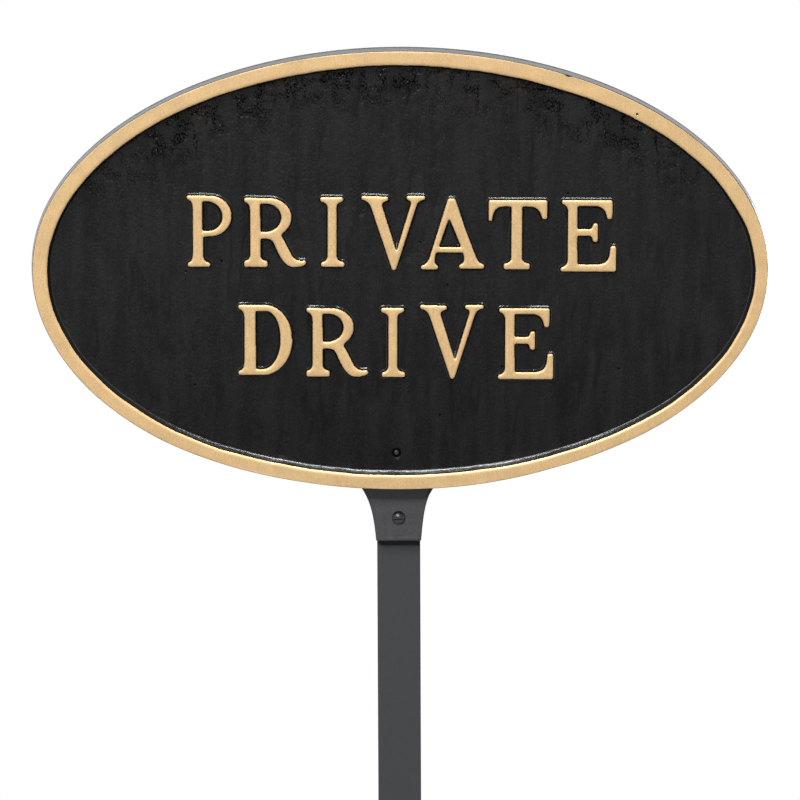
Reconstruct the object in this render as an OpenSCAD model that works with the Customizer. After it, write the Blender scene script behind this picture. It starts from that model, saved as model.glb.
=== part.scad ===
// Oval lawn sign: a cast plaque with a raised rim, held by a flared bracket on a flat stake.
// +Z is up, the sign faces -Y, and the origin is on the stake's axis at the ground line.

/* [Plaque] */
// Overall width of the oval plaque
plaque_w = 254; // [160:1:400]
// Overall height of the oval plaque
plaque_h = 152.4; // [120:0.1:240]
// Thickness of the plaque at its rim
plaque_t = 9.5; // [8.5:0.1:14]
// How much each side of the oval draws in from its back edge to its face
side_draft = 1; // [0.4:0.1:2]
// Width of the rim's flat face
rim_w = 4.8; // [3:0.1:8]
// How far the rim stands above the field
rim_rise = 2.8; // [1.5:0.1:3.5]
// How far the rim's inner wall slopes inward on its way down to the field
rim_wall_run = 1.3; // [0.5:0.1:2.5]
// Thickness of the plate behind the field
plate_t = 4; // [3:0.1:4.5]
// Width of the lip around the hollow back
lip_w = 5; // [3.5:0.1:8]
// How far right of the stake's middle the plaque was fixed
plaque_side = 0.8; // [-1.5:0.1:1.5]

/* [Stake] */
// Width of the flat bar
bar_w = 15; // [12:0.5:20]
// Thickness of the flat bar
bar_t = 6; // [4:0.1:7]
// Length of the flat bar, point included
bar_l = 566; // [400:1:800]
// Length of the cut that brings the bar to a point
point_l = 42; // [20:1:80]
// Width of the blunt end of the point
point_w = 2.4; // [1:0.1:5]
// Length of stake that goes into the ground
buried_l = 200; // [100:1:300]

/* [Bracket] */
// Thickness of the bracket's plate
bracket_t = 5; // [2.5:0.1:6]
// How far the bracket shows below the plaque
bracket_drop = 18.7; // [15:0.1:30]
// How much wider than the bar the bracket is at its lower edge
bracket_low_extra = 0.34; // [0.1:0.02:1.5]
// Slope of each side of the bracket above its lower edge
bracket_taper = 0.1; // [0:0.01:0.2]
// How far each side has flared out at the plaque's lower edge
flare_gain = 3.3; // [1:0.1:5]
// Power of the curve that each side flares along
flare_power = 3.5; // [2:0.1:5]
// Width of the bracket's pad behind the plaque
pad_w = 40; // [30:1:60]
// Height of the pad's top above the plaque's lower edge
pad_top = 26.2; // [20:0.1:36]
// Radius of the pad's top corners
pad_corner_r = 4; // [1:0.5:8]
// Thickness of each cheek beside the bar
cheek_t = 2; // [1.5:0.1:4]
// How far the cheeks reach back beside the bar
cheek_d = 4; // [2:0.1:4]
// Height above the bracket's lower edge at which the cheeks start
cheek_start = 12.5; // [10:0.5:16]

/* [Fasteners] */
// Outside diameter of both screws' thread
screw_d = 2.85; // [2:0.05:4]
// Diameter of both screws' slotted round heads
head_d = 4.6; // [4.2:0.1:6]
// Height of both screws' heads
head_h = 1.8; // [1:0.1:3]
// Width of the slot in a screw's head
slot_w = 0.8; // [0.5:0.1:1.2]
// Depth of the slot in a screw's head
slot_d = 0.9; // [0.4:0.1:1.4]
// Turn of the slot in the bracket's screw, from level
slot_turn = 8; // [0:1:90]
// Height of the plaque's screw above the plaque's lower edge
plaque_screw_up = 13.2; // [12:0.1:16]
// How far right of the stake's middle the plaque's screw sits
plaque_screw_side = -0.6; // [-1.5:0.1:1.5]
// How far the end of the plaque's screw stops under the field
plaque_screw_under = 0.4; // [0.1:0.1:1]
// Height of the bracket's screw above the bracket's lower edge
stake_screw_up = 8.2; // [5:0.1:9]
// How far the bracket's screw stands out of its nut
screw_proud = 0.6; // [0.2:0.1:3]
// Width of the nut across its flats
nut_af = 6.35; // [5:0.05:8]
// Height of the nut
nut_h = 2.4; // [1.5:0.1:4]
// Outside diameter of the lock washer
washer_d = 5.6; // [4.5:0.1:8]
// Thickness of the lock washer
washer_t = 0.8; // [0.4:0.1:1.5]
// Width of the split in the lock washer
washer_split = 0.7; // [0.3:0.1:1.2]

/* [Clearances] */
// Radial clearance of a screw in a tapped hole
thread_clear = 0.05; // [0.02:0.01:0.1]
// Radial clearance of a screw in a plain hole
hole_clear = 0.2; // [0.1:0.05:0.4]
// Clearance between the bar and each cheek
bar_clear = 0.15; // [0.1:0.05:0.3]
// Gap between the bracket's plate and the plaque's lip
lip_clear = 0.2; // [0.1:0.05:0.5]
// Gap between the bracket's tongue and the inside of the lip
tongue_clear = 0.3; // [0.2:0.05:1]
// Gap between the bar's top and the head of the plaque's screw
bar_top_clear = 2.6; // [0.5:0.1:3]

/* [Hidden] */
$fn = 64;

// Overshoot that keeps a cut's faces clear of the faces it passes
cut_over = 1;
// Draft of the hollow back's wall, as run for its whole depth
lip_draft = 0.4;
// Steps in which the bracket's flared sides are drawn
flare_steps = 24;
// Curvature of a screw head's dome, as a share of the head's height
dome_share = 0.45;
// Facets of the oval outlines in a drawn mesh
oval_fn = 180;
// Lead-in at the end of a screw
screw_lead = 0.4;
// Height of the nut's corner chamfer
nut_chamfer = 0.35;

// Depths, from the stake's middle plane towards the sign's face
bar_front_y = -bar_t / 2;
bar_back_y = bar_t / 2;
bracket_front_y = bar_front_y - bracket_t;
plaque_back_y = bracket_front_y - lip_clear;
plaque_face_y = plaque_back_y - plaque_t;
field_y = plaque_face_y + rim_rise;
plate_back_y = field_y + plate_t;
hollow_d = plaque_back_y - plate_back_y;

// Heights, from the ground line
tip_z = -buried_l;
bar_top_z = tip_z + bar_l;
bar_grip = bracket_drop + plaque_screw_up - head_d / 2 - bar_top_clear;
bracket_low_z = bar_top_z - bar_grip;
plaque_low_z = bracket_low_z + bracket_drop;
plaque_mid_z = plaque_low_z + plaque_h / 2;
pad_top_z = plaque_low_z + pad_top;
plaque_screw_z = plaque_low_z + plaque_screw_up;
stake_screw_z = bracket_low_z + stake_screw_up;

// Half sizes of the oval's outlines
back_rx = plaque_w / 2;
back_rz = plaque_h / 2;
face_rx = back_rx - side_draft;
face_rz = back_rz * face_rx / back_rx;
rim_inner_rx = face_rx - rim_w;
rim_inner_rz = face_rz - rim_w;
hollow_rx = back_rx - lip_w;
hollow_rz = back_rz - lip_w;

// Sizes shared by the fasteners and their holes
screw_r = screw_d / 2;
tapped_r = screw_r + thread_clear;
plain_r = screw_r + hole_clear;
stake_screw_l = bracket_t + bar_t + washer_t + nut_h + screw_proud;
plaque_screw_l = bar_front_y - field_y - plaque_screw_under;
washer_back_y = bar_back_y + washer_t;

// Half width of the bracket at a height above its lower edge
bracket_low_half = (bar_w + bracket_low_extra) / 2;
function flared_half(up) =
    bracket_low_half + bracket_taper * up + flare_gain * pow(up / bracket_drop, flare_power);
function bracket_half(up) = min(pad_w / 2, flared_half(up));

// A solid oval whose axis runs along +Y from y, and whose half width grows to rx_end
module oval(y, depth, rx, rz, rx_end) {
    translate([plaque_side, y, plaque_mid_z])
        rotate([-90, 0, 0])
            scale([1, rz / rx, 1])
                cylinder(h = depth, r1 = rx, r2 = rx_end, $fn = oval_fn);
}

// A round hole or rod along +Y from y
module rod(x, y, z, length, r) {
    translate([x, y, z])
        rotate([-90, 0, 0])
            cylinder(h = length, r = r);
}

// A slotted round head with its shank, along +Z from the end of the shank
module machine_screw(length) {
    head_r = head_d / 2;
    dome_h = head_h * dome_share;
    dome_r = (pow(head_r, 2) + pow(dome_h, 2)) / (2 * dome_h);
    difference() {
        union() {
            cylinder(h = screw_lead, r1 = screw_r - screw_lead, r2 = screw_r);
            translate([0, 0, screw_lead])
                cylinder(h = length - screw_lead, r = screw_r);
            translate([0, 0, length])
                intersection() {
                    cylinder(h = head_h, r = head_r);
                    translate([0, 0, head_h - dome_r])
                        sphere(r = dome_r);
                }
        }
        translate([-head_r - cut_over, -slot_w / 2, length + head_h - slot_d])
            cube([head_d + 2 * cut_over, slot_w, slot_d + cut_over]);
    }
}

// One casting: raised rim, sunk field, drafted sides, hollow back and a tapped hole
module plaque() {
    color("#26272a")
        difference() {
            oval(plaque_face_y, plaque_t, face_rx, face_rz, back_rx);
            oval(plaque_face_y, rim_rise, rim_inner_rx, rim_inner_rz, rim_inner_rx - rim_wall_run);
            oval(plate_back_y, hollow_d, hollow_rx - lip_draft, hollow_rz - lip_draft, hollow_rx);
            rod(plaque_screw_side, field_y - cut_over, plaque_screw_z, plate_t + 2 * cut_over, tapped_r);
        }
}

// Outline of the bracket's plate, seen from the front
module bracket_outline() {
    pad_up = pad_top_z - bracket_low_z;
    corner_up = pad_up - pad_corner_r;
    corner_x = pad_w / 2 - pad_corner_r;
    right = concat(
        [for (i = [0:flare_steps]) let (up = corner_up * i / flare_steps) [bracket_half(up), up]],
        [for (a = [10:10:90]) [corner_x + pad_corner_r * cos(a), corner_up + pad_corner_r * sin(a)]]
    );
    left = [for (i = [len(right) - 1:-1:0]) [-right[i].x, right[i].y]];
    polygon(concat(right, left));
}

// The part of the pad that fills the hollow back, clear of the lip's inside
module bracket_tongue() {
    tongue_half = pad_w / 2 - tongue_clear;
    intersection() {
        translate([-tongue_half, plate_back_y, plaque_low_z])
            cube([2 * tongue_half, bracket_front_y - plate_back_y, pad_top - tongue_clear]);
        oval(
            plate_back_y - cut_over,
            bracket_front_y - plate_back_y + 2 * cut_over,
            hollow_rx - lip_draft - tongue_clear,
            hollow_rz - lip_draft - tongue_clear,
            hollow_rx - lip_draft - tongue_clear
        );
    }
}

// Two cheeks beside the bar, which keep it from turning about its screw
module bracket_cheeks() {
    cheek_up = bar_grip - cheek_start;
    for (side = [-1, 1])
        translate([
            side * (bar_w / 2 + bar_clear + cheek_t / 2) - cheek_t / 2,
            bar_front_y,
            bracket_low_z + cheek_start
        ])
            cube([cheek_t, cheek_d, cheek_up]);
}

// Cast bracket: flared plate in front of the bar, and a pad behind the plaque
module stake_bracket() {
    color("#4f5053")
        difference() {
            union() {
                translate([0, bar_front_y, bracket_low_z])
                    rotate([90, 0, 0])
                        linear_extrude(height = bracket_t)
                            bracket_outline();
                bracket_tongue();
                bracket_cheeks();
            }
            rod(
                plaque_screw_side,
                plate_back_y - cut_over,
                plaque_screw_z,
                bar_front_y - plate_back_y + 2 * cut_over,
                plain_r
            );
            rod(0, bracket_front_y - cut_over, stake_screw_z, bracket_t + 2 * cut_over, plain_r);
        }
}

// Flat bar, cut to a point at its lower end, with one plain hole
module stake() {
    color("#47484a")
        difference() {
            translate([0, bar_back_y, tip_z])
                rotate([90, 0, 0])
                    linear_extrude(height = bar_t)
                        polygon([
                            [-point_w / 2, 0],
                            [point_w / 2, 0],
                            [bar_w / 2, point_l],
                            [bar_w / 2, bar_l],
                            [-bar_w / 2, bar_l],
                            [-bar_w / 2, point_l]
                        ]);
            rod(0, bar_front_y - cut_over, stake_screw_z, bar_t + 2 * cut_over, plain_r);
        }
}

// Screw from the pad's back into the plaque's tapped hole, its end just under the field
module plaque_screw() {
    color("#3c3d40")
        translate([plaque_screw_side, bar_front_y - plaque_screw_l, plaque_screw_z])
            rotate([-90, 0, 0])
                machine_screw(plaque_screw_l);
}

// Screw from the front through the bracket and the bar
module stake_screw() {
    color("#3c3d40")
        translate([0, bracket_front_y + stake_screw_l, stake_screw_z])
            rotate([90, 0, 0])
                rotate([0, 0, slot_turn])
                    machine_screw(stake_screw_l);
}

// Split ring between the bar and the nut
module stake_lock_washer() {
    color("#8d8f92")
        difference() {
            rod(0, bar_back_y, stake_screw_z, washer_t, washer_d / 2);
            rod(0, bar_back_y - cut_over, stake_screw_z, washer_t + 2 * cut_over, plain_r);
            translate([-washer_split / 2, bar_back_y - cut_over, stake_screw_z])
                cube([washer_split, washer_t + 2 * cut_over, washer_d]);
        }
}

// Hexagon nut with chamfered corners
module stake_nut() {
    corner_r = nut_af / 2 / cos(30);
    color("#8d8f92")
        translate([0, washer_back_y, stake_screw_z])
            rotate([-90, 0, 0])
                difference() {
                    intersection() {
                        cylinder(h = nut_h, r = corner_r, $fn = 6);
                        union() {
                            cylinder(h = nut_chamfer, r1 = nut_af / 2, r2 = corner_r);
                            translate([0, 0, nut_chamfer])
                                cylinder(h = nut_h - 2 * nut_chamfer, r = corner_r);
                            translate([0, 0, nut_h - nut_chamfer])
                                cylinder(h = nut_chamfer, r1 = corner_r, r2 = nut_af / 2);
                        }
                    }
                    translate([0, 0, -cut_over])
                        cylinder(h = nut_h + 2 * cut_over, r = tapped_r);
                }
}

plaque();
stake_bracket();
stake();
plaque_screw();
stake_screw();
stake_lock_washer();
stake_nut();
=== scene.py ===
"""Oval lawn sign: an enamelled sand casting with raised capitals, on a bracket and a flat stake.

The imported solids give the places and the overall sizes. Settings are in metres, as Blender
keeps lengths. Shapes are worked out in millimetres and stored in metres.
"""

import math
from types import SimpleNamespace

import bpy
import numpy as np
from mathutils import Matrix, Vector
from mathutils.geometry import delaunay_2d_cdt


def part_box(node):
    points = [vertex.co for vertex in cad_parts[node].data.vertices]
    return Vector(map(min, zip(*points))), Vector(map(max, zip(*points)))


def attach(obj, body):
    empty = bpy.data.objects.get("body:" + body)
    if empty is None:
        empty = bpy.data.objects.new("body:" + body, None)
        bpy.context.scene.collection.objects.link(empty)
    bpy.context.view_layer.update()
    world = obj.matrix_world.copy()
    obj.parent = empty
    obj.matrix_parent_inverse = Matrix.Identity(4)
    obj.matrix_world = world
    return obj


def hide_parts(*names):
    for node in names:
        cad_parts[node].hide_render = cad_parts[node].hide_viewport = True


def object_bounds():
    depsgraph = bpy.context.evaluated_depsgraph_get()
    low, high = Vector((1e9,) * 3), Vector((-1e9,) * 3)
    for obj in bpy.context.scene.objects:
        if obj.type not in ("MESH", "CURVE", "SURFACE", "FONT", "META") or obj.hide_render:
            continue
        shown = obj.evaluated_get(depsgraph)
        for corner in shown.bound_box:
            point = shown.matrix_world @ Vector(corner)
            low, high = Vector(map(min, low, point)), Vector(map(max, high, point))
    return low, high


bl_info = {
    "name": "Oval Lawn Sign",
    "version": (1, 0, 0),
    "blender": (4, 5, 0),
    "location": "3D View > Sidebar > Sign",
    "description": "Builds an enamelled oval sign with raised capitals on a ground stake",
    "category": "Add Mesh",
}

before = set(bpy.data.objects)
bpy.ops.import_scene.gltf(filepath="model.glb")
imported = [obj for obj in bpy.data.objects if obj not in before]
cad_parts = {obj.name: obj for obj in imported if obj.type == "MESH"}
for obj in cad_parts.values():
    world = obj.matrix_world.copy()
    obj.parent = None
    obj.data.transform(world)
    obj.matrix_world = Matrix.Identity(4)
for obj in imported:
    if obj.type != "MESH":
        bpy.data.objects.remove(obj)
CAD_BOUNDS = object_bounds()
MM = 0.001


def linear(code):
    """An sRGB hex colour such as #808080 as the linear red, green and blue that Blender uses."""
    parts = [int(code[i:i + 2], 16) / 255 for i in (1, 3, 5)]
    return tuple(c / 12.92 if c <= 0.04045 else ((c + 0.055) / 1.055) ** 2.4 for c in parts)


def box_mm(node):
    """Lowest and highest corner of a CAD node, in millimetres."""
    low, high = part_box(node)
    return np.array(low) / MM, np.array(high) / MM


def middle_mm(node):
    """Middle of a CAD node as seen from the front, in millimetres."""
    low, high = box_mm(node)
    return (low[0] + high[0]) / 2, (low[2] + high[2]) / 2


# Settings


def number(name, description, value, **details):
    """A setting that holds one number."""
    return bpy.props.FloatProperty(name=name, description=description, default=value, **details)


def length(name, description, millimetres, least=0):
    """A length setting, given in millimetres, and its least value in metres."""
    return number(name, description, millimetres * MM, min=least, unit="LENGTH", precision=5)


def angle(name, description, degrees):
    """An angle setting, given in degrees."""
    return number(name, description, math.radians(degrees), subtype="ANGLE")


def colour(name, description, code):
    """A colour setting, given as an sRGB hex colour."""
    return bpy.props.FloatVectorProperty(
        name=name, description=description, default=linear(code), size=3, min=0, max=1, subtype="COLOR"
    )


class PlaqueSettings(bpy.types.PropertyGroup):
    """Sizes of the oval casting and colours of its enamel."""

    side_draft: length("Side Draft", "How far the sides draw in from back to front", 1)
    rim_width: length("Rim Width", "Width of the rim's flat face", 4.8)
    rim_rise: length("Rim Rise", "Height of the rim above the field", 2.8)
    taller: length("Taller", "How much further the casting reaches up and down than its plan", 0.17)
    sideways: length("Sideways", "How far right the field sits within the rim, as moulded", 0.4)
    mismatch: length("Mismatch", "How far the field's outline is cast above the rim's", 0.4)
    wall_run: length("Wall Run", "Slope of the rim's inner wall, as run for its whole height", 1.3)
    plate: length("Plate", "Thickness of the plate behind the field", 4)
    lip: length("Lip", "Width of the lip around the hollow back", 5)
    bore: length("Bore", "Radius of the tapped hole near the lower edge", 1.475)
    grid: length("Grid", "Distance between the points of the field's mesh", 0.7)
    ripple: length("Ripple", "Height of the enamel's flow ripples", 0.12)
    pit_depth: length("Pit Depth", "Depth of the sand pits along the top of the field", 0.14)
    black: colour("Black", "Colour of the enamel on the field, sides and back", "#151516")
    gold: colour("Gold", "Colour of the enamel on the rim and the capitals", "#dcb883")


class LetteringSettings(bpy.types.PropertyGroup):
    """Size and place of the raised capitals."""

    relief: length("Relief", "Height of the capitals above the field", 2.1)
    spread: length("Spread", "How far the walls and their fillet spread at the field", 0.82)
    softness: length("Softness", "Radius to which the sand mould rounds the corners", 0.34)
    upper_line: length("Upper Line", "Height of the upper baseline above the oval's centre", 1.0)
    lower_line: length("Lower Line", "Depth of the lower baseline below the oval's centre", 36.5)
    slope: angle("Slope", "Fall of both lines to the right", 0.95)
    turn: angle("Turn", "Turn of each capital to the right", 0.4)


class BracketSettings(bpy.types.PropertyGroup):
    """Sizes of the flared bracket behind the oval's lower edge."""

    plate: length("Plate", "Thickness of the bracket's plate", 5)
    drop: length("Drop", "How far the bracket shows below the plaque", 18.7)
    low_extra: length("Low Extra", "How much wider than the bar the lower edge is", 0.6)
    flare: length("Flare", "How far each side has flared at the plaque's lower edge", 2.85)
    lean: length("Lean", "How far the cast flare leans to the left at the plaque's lower edge", 0.45)
    corner: length("Corner", "Radius of the pad's top corners", 4)
    cheek: length("Cheek", "Thickness of each cheek beside the bar", 2)
    cheek_start: length("Cheek Start", "Height at which the cheeks start", 12.5)
    clearance: length("Clearance", "Gap between the bar and each cheek", 0.15)
    edge: length("Edge", "Radius of the plate's front edges", 0.45)
    dip: length("Dip", "How far the face falls back towards the plaque", 0.4)
    powder: colour("Powder Coat", "Colour of the bracket's powder coat", "#3c3c41")


class StakeSettings(bpy.types.PropertyGroup):
    """Sizes of the flat bar."""

    point: length("Point", "Length of the cut that brings the bar to a point", 42)
    point_width: length("Point Width", "Width of the blunt end", 2.4)
    edge: length("Edge", "Radius of the bar's long edges", 0.35)
    powder: colour("Powder Coat", "Colour of the bar's powder coat", "#505153")


class FastenerSettings(bpy.types.PropertyGroup):
    """Sizes and colours of the screws, washer and nut."""

    thread: length("Thread", "Outside radius of the screws' thread", 1.425)
    pitch: length("Pitch", "Pitch of the thread, forty to the inch", 0.635)
    head: length("Head", "Radius of the screws' heads", 2.3)
    head_height: length("Head Height", "Height of the screws' heads", 1.8)
    dome: length("Dome", "Height of the domed part of a head", 1.15)
    slot: length("Slot", "Width of the slot", 1.0)
    slot_depth: length("Slot Depth", "Depth of the slot", 0.8)
    slot_turn: angle("Slot Turn", "Turn of the bracket screw's slot", 4)
    oxide: colour("Oxide", "Colour of the screws' black oxide", "#434345")
    zinc: colour("Zinc", "Colour of the nut's and the washer's zinc plate", "#b6b9bd")


class StageSettings(bpy.types.PropertyGroup):
    """Camera and light."""

    distance: length("Distance", "Distance of the camera in front of the plaque's face", 1500)
    rise: length("Rise", "Height of the camera above the plaque's centre", 163.2)
    sideways: length("Sideways", "How far right of the plaque's centre the camera stands", -0.14, -1)
    tilt: angle("Tilt", "How far the camera looks down", 7.873)
    roll: angle("Roll", "Turn of the camera about its view", -0.236)
    focal: number("Focal Length", "Lens, in millimetres", 198.5)
    key_power: number("Key Power", "Overhead softbox, in watts", 43)
    front_power: number("Front Power", "Front softbox, in watts", 27)
    strip_power: number("Strip Power", "Low front strip, in watts", 19.5)
    back_power: number("Back Power", "Softbox low behind, in watts", 14)
    ambient: number("Ambient", "Level of the light from all around", 0.07)


SETTINGS = {
    "plaque": PlaqueSettings,
    "lettering": LetteringSettings,
    "bracket": BracketSettings,
    "stake": StakeSettings,
    "fasteners": FastenerSettings,
    "stage": StageSettings,
}


def settings(context, name):
    """One group of settings, with its lengths in millimetres under the same names."""
    group = getattr(context.scene, "sign_" + name)
    values = {}
    for key, prop in group.bl_rna.properties.items():
        in_metres = getattr(prop, "unit", "NONE") == "LENGTH"
        values[key] = getattr(group, key) / MM if in_metres else getattr(group, key)
    return SimpleNamespace(**values)


# Shapes


def triangulate(places, loops):
    """Cut a flat sheet into triangles. Its first places are those of the closed loops, in order.

    Returns the corners' places, the triangles, and the numbers of the places at each corner.
    """
    edges = []
    first = 0
    for loop in loops:
        edges += [(first + k, first + (k + 1) % len(loop)) for k in range(len(loop))]
        first += len(loop)
    found = delaunay_2d_cdt([tuple(p) for p in places], edges, [], 0, 1e-7, True)
    return np.array([tuple(v) for v in found[0]]), np.array(found[2]), found[3]


class Shape:
    """A mesh being built: points in millimetres, faces, and the number of each face's finish."""

    def __init__(self):
        self.points = []
        self.faces = []
        self.finishes = []

    def add(self, points):
        """Add points and return their numbers."""
        first = len(self.points)
        self.points.extend(tuple(p) for p in points)
        return list(range(first, len(self.points)))

    def skin(self, loops, finishes=None):
        """Join closed loops of equal count, each to the next. finishes has a number for each strip."""
        for index, (near, far) in enumerate(zip(loops, loops[1:])):
            for k in range(len(near)):
                n = (k + 1) % len(near)
                self.faces.append((near[k], near[n], far[n], far[k]))
                self.finishes.append(finishes[index] if finishes else 0)

    def fill(self, loops, inner=(), lift=None, keep=None, back=False, finish=0):
        """Fill the space between closed loops with triangles, as seen from the front.

        inner are further places inside, which lift turns into points. keep says which centres
        of triangles stay.
        """
        numbers = [i for loop in loops for i in loop]
        places = [(self.points[i][0], self.points[i][2]) for i in numbers] + [tuple(p) for p in inner]
        if len(inner):
            numbers = numbers + self.add(lift(np.array(inner)))
        where, triangles, origins = triangulate(places, loops)
        if len(where) != len(places):
            raise RuntimeError("two outlines of a sheet cross or touch")
        if keep:
            triangles = triangles[keep(where[triangles].mean(axis=1))]
        for triangle in triangles:
            face = tuple(numbers[origins[corner][0]] for corner in triangle)
            self.faces.append(face[::-1] if back else face)
            self.finishes.append(finish)

    def build(self, name, slot, finishes):
        """Make the object, smooth it, and have it ride on the sign's one body."""
        mesh = bpy.data.meshes.new(name)
        mesh.from_pydata((np.array(self.points) * MM).tolist(), [], self.faces)
        for material in finishes:
            mesh.materials.append(material)
        mesh.polygons.foreach_set("material_index", self.finishes)
        mesh.polygons.foreach_set("use_smooth", [True] * len(mesh.polygons))
        mesh.validate()
        piece = bpy.data.objects.new(name, mesh)
        bpy.context.scene.collection.objects.link(piece)
        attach(piece, "root")
        return piece


def noise(x, z, wave_x, wave_z, seed):
    """Smooth random heights from -1 to 1, with humps as wide and as tall as the two waves."""
    cells = 97
    table = np.random.default_rng(seed).uniform(-1, 1, (cells, cells))
    u, v = x / wave_x + 40, z / wave_z + 40
    i, j = np.floor(u).astype(int), np.floor(v).astype(int)
    s, t = u - i, v - j
    s, t = s * s * (3 - 2 * s), t * t * (3 - 2 * t)
    low = table[i % cells, j % cells] * (1 - s) + table[(i + 1) % cells, j % cells] * s
    high = table[i % cells, (j + 1) % cells] * (1 - s) + table[(i + 1) % cells, (j + 1) % cells] * s
    return low * (1 - t) + high * t


def steps_between(stops, value):
    """Read a curve, given as (place, height) stops in rising order, at an array of places."""
    places, heights = zip(*stops)
    return np.interp(value, places, heights)


def circle(x, z, radius, count):
    """Places around a circle, anticlockwise as seen from the front."""
    turns = [2 * math.pi * k / count for k in range(count)]
    return [(x + radius * math.cos(turn), z + radius * math.sin(turn)) for turn in turns]


def staggered_grid(low, high, pitch):
    """Places on a grid of even triangles between two corners."""
    rows = np.arange(low[1], high[1], pitch * math.sqrt(3) / 2)
    columns = np.arange(low[0], high[0], pitch)
    x, z = np.meshgrid(columns, rows)
    x[1::2] += pitch / 2
    return np.column_stack([x.ravel(), z.ravel()])


def in_polygon(places, outline):
    """Which places lie inside a closed outline."""
    inside = np.zeros(len(places), bool)
    x, z = places[:, 0], places[:, 1]
    for (x0, z0), (x1, z1) in zip(outline, outline[1:] + outline[:1]):
        if z0 != z1:
            crosses = (z0 > z) != (z1 > z)
            inside ^= crosses & (x < x0 + (z - z0) * (x1 - x0) / (z1 - z0))
    return inside


def inset(outline, distance):
    """A closed anticlockwise outline moved inward by a distance."""
    corners = np.array(outline)
    before = corners - np.roll(corners, 1, axis=0)
    after = np.roll(corners, -1, axis=0) - corners
    before /= np.linalg.norm(before, axis=1)[:, None]
    after /= np.linalg.norm(after, axis=1)[:, None]
    middle = before + after
    middle /= np.linalg.norm(middle, axis=1)[:, None]
    inward = np.column_stack([-middle[:, 1], middle[:, 0]])
    reach = distance / np.maximum(0.4, (middle * after).sum(axis=1))
    return (corners + inward * reach[:, None]).tolist()


def slab(shape, outline, front, back, edge, back_edge, holes=(), pitch=0, wave=None):
    """A flat piece with rounded edges, from its outline, its two depths and the holes through it.

    With a pitch, its front has a grid of points, raised by wave.
    """
    flat = 0.3
    chamfer = 0.1
    turns = [math.radians(degrees) for degrees in (0, 30, 60, 90)]
    profile = [(back_edge + flat, back)]
    profile += [(back_edge * (1 - math.sin(a)), back - back_edge * (1 - math.cos(a))) for a in turns]
    profile += [(edge * (1 - math.cos(a)), front + edge * (1 - math.sin(a))) for a in turns]
    profile += [(edge + flat, front)]
    rings = [shape.add([(x, y, z) for x, z in inset(outline, in_by)]) for in_by, y in profile]
    shape.skin(rings)
    bore = [(flat + chamfer, front), (chamfer, front), (0, front + chamfer)]
    bore += [(0, back - chamfer), (chamfer, back), (flat + chamfer, back)]
    mouths, ends = [rings[-1]], [rings[0]]
    for x, z, radius in holes:
        loops = [shape.add([(px, y, pz) for px, pz in circle(x, z, radius + out, 32)]) for out, y in bore]
        shape.skin(loops)
        mouths.append(loops[0])
        ends.append(loops[-1])

    def keep(places, border=outline, margin=flat):
        inside = in_polygon(places, border)
        for x, z, radius in holes:
            inside &= np.hypot(places[:, 0] - x, places[:, 1] - z) > radius + margin
        return inside

    def lift(places):
        return np.column_stack([places[:, 0], np.full(len(places), front) - wave(places), places[:, 1]])

    inner = ()
    if pitch:
        border = inset(outline, edge + flat + pitch * 0.6)
        inner = staggered_grid(np.min(border, axis=0), np.max(border, axis=0), pitch)
        inner = inner[keep(inner, border, flat + pitch * 0.6)]
    shape.fill(mouths, inner, lift, keep)
    shape.fill(ends, keep=keep, back=True)


# Materials


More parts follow.
